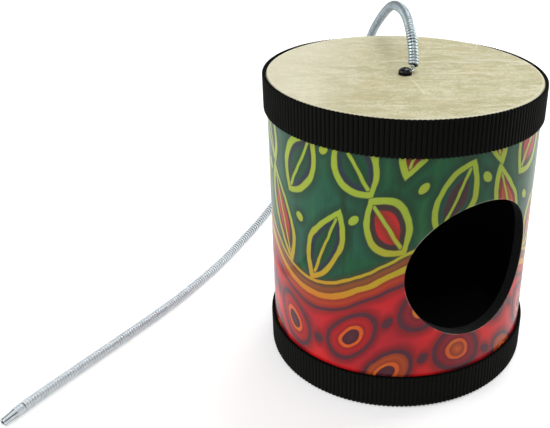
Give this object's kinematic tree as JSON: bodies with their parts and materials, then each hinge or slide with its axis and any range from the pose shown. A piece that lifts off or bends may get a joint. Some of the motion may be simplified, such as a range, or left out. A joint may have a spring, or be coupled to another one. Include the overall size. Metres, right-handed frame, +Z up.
{
  "type": "spring drum",
  "caption": "Hand-held spring drum: a wrapped round tube with a film head, a side sound hole, webbing bands and a long coil spring fixed near the middle of the head.",
  "frame": {"origin": "on the drum's axis, on the surface that the drum stands on", "axes": "+Z up along the drum's axis to the head, -Y towards the sound hole"},
  "size_m": [0.3049, 0.2801, 0.1979],
  "materials": {
    "black_board": "matt black wood-fibre board",
    "printed_film": "glossy printed film",
    "parchment_film": "satin parchment-coloured film",
    "webbing": "black ribbed webbing",
    "black_steel": "gloss black",
    "fibre": "matt vulcanised fibre",
    "plain_steel": "zinc plated",
    "spring_steel": "bright zinc plated wire"
  },
  "bodies": {
    "drum": {"shell": "black_board", "bottom_disc": "black_board", "shell_wrap": "printed_film", "drum_head": "parchment_film", "top_band": "webbing", "bottom_band": "webbing", "fibre_patch": "fibre"},
    "anchor": {"anchor_screw": "black_steel", "backing_washer": "plain_steel", "lock_nut": "plain_steel", "spring_hook": "spring_steel"},
    "spring": {"coil_spring": "spring_steel", "crimped_tip": "spring_steel"}
  },
  "joints": [
    {"name": "anchor_swivel", "type": "hinge", "parent": "drum", "child": "anchor", "pos_m": [-0.0041, -0.0052, 0.1696], "axis": [0, 0, 1], "continuous": true},
    {"name": "spring_swing", "type": "hinge", "parent": "anchor", "child": "spring", "pos_m": [0.0019, -0.004, 0.173], "axis": [0.9481, 0.318, 0], "range_deg": [0, 70]}
  ]
}
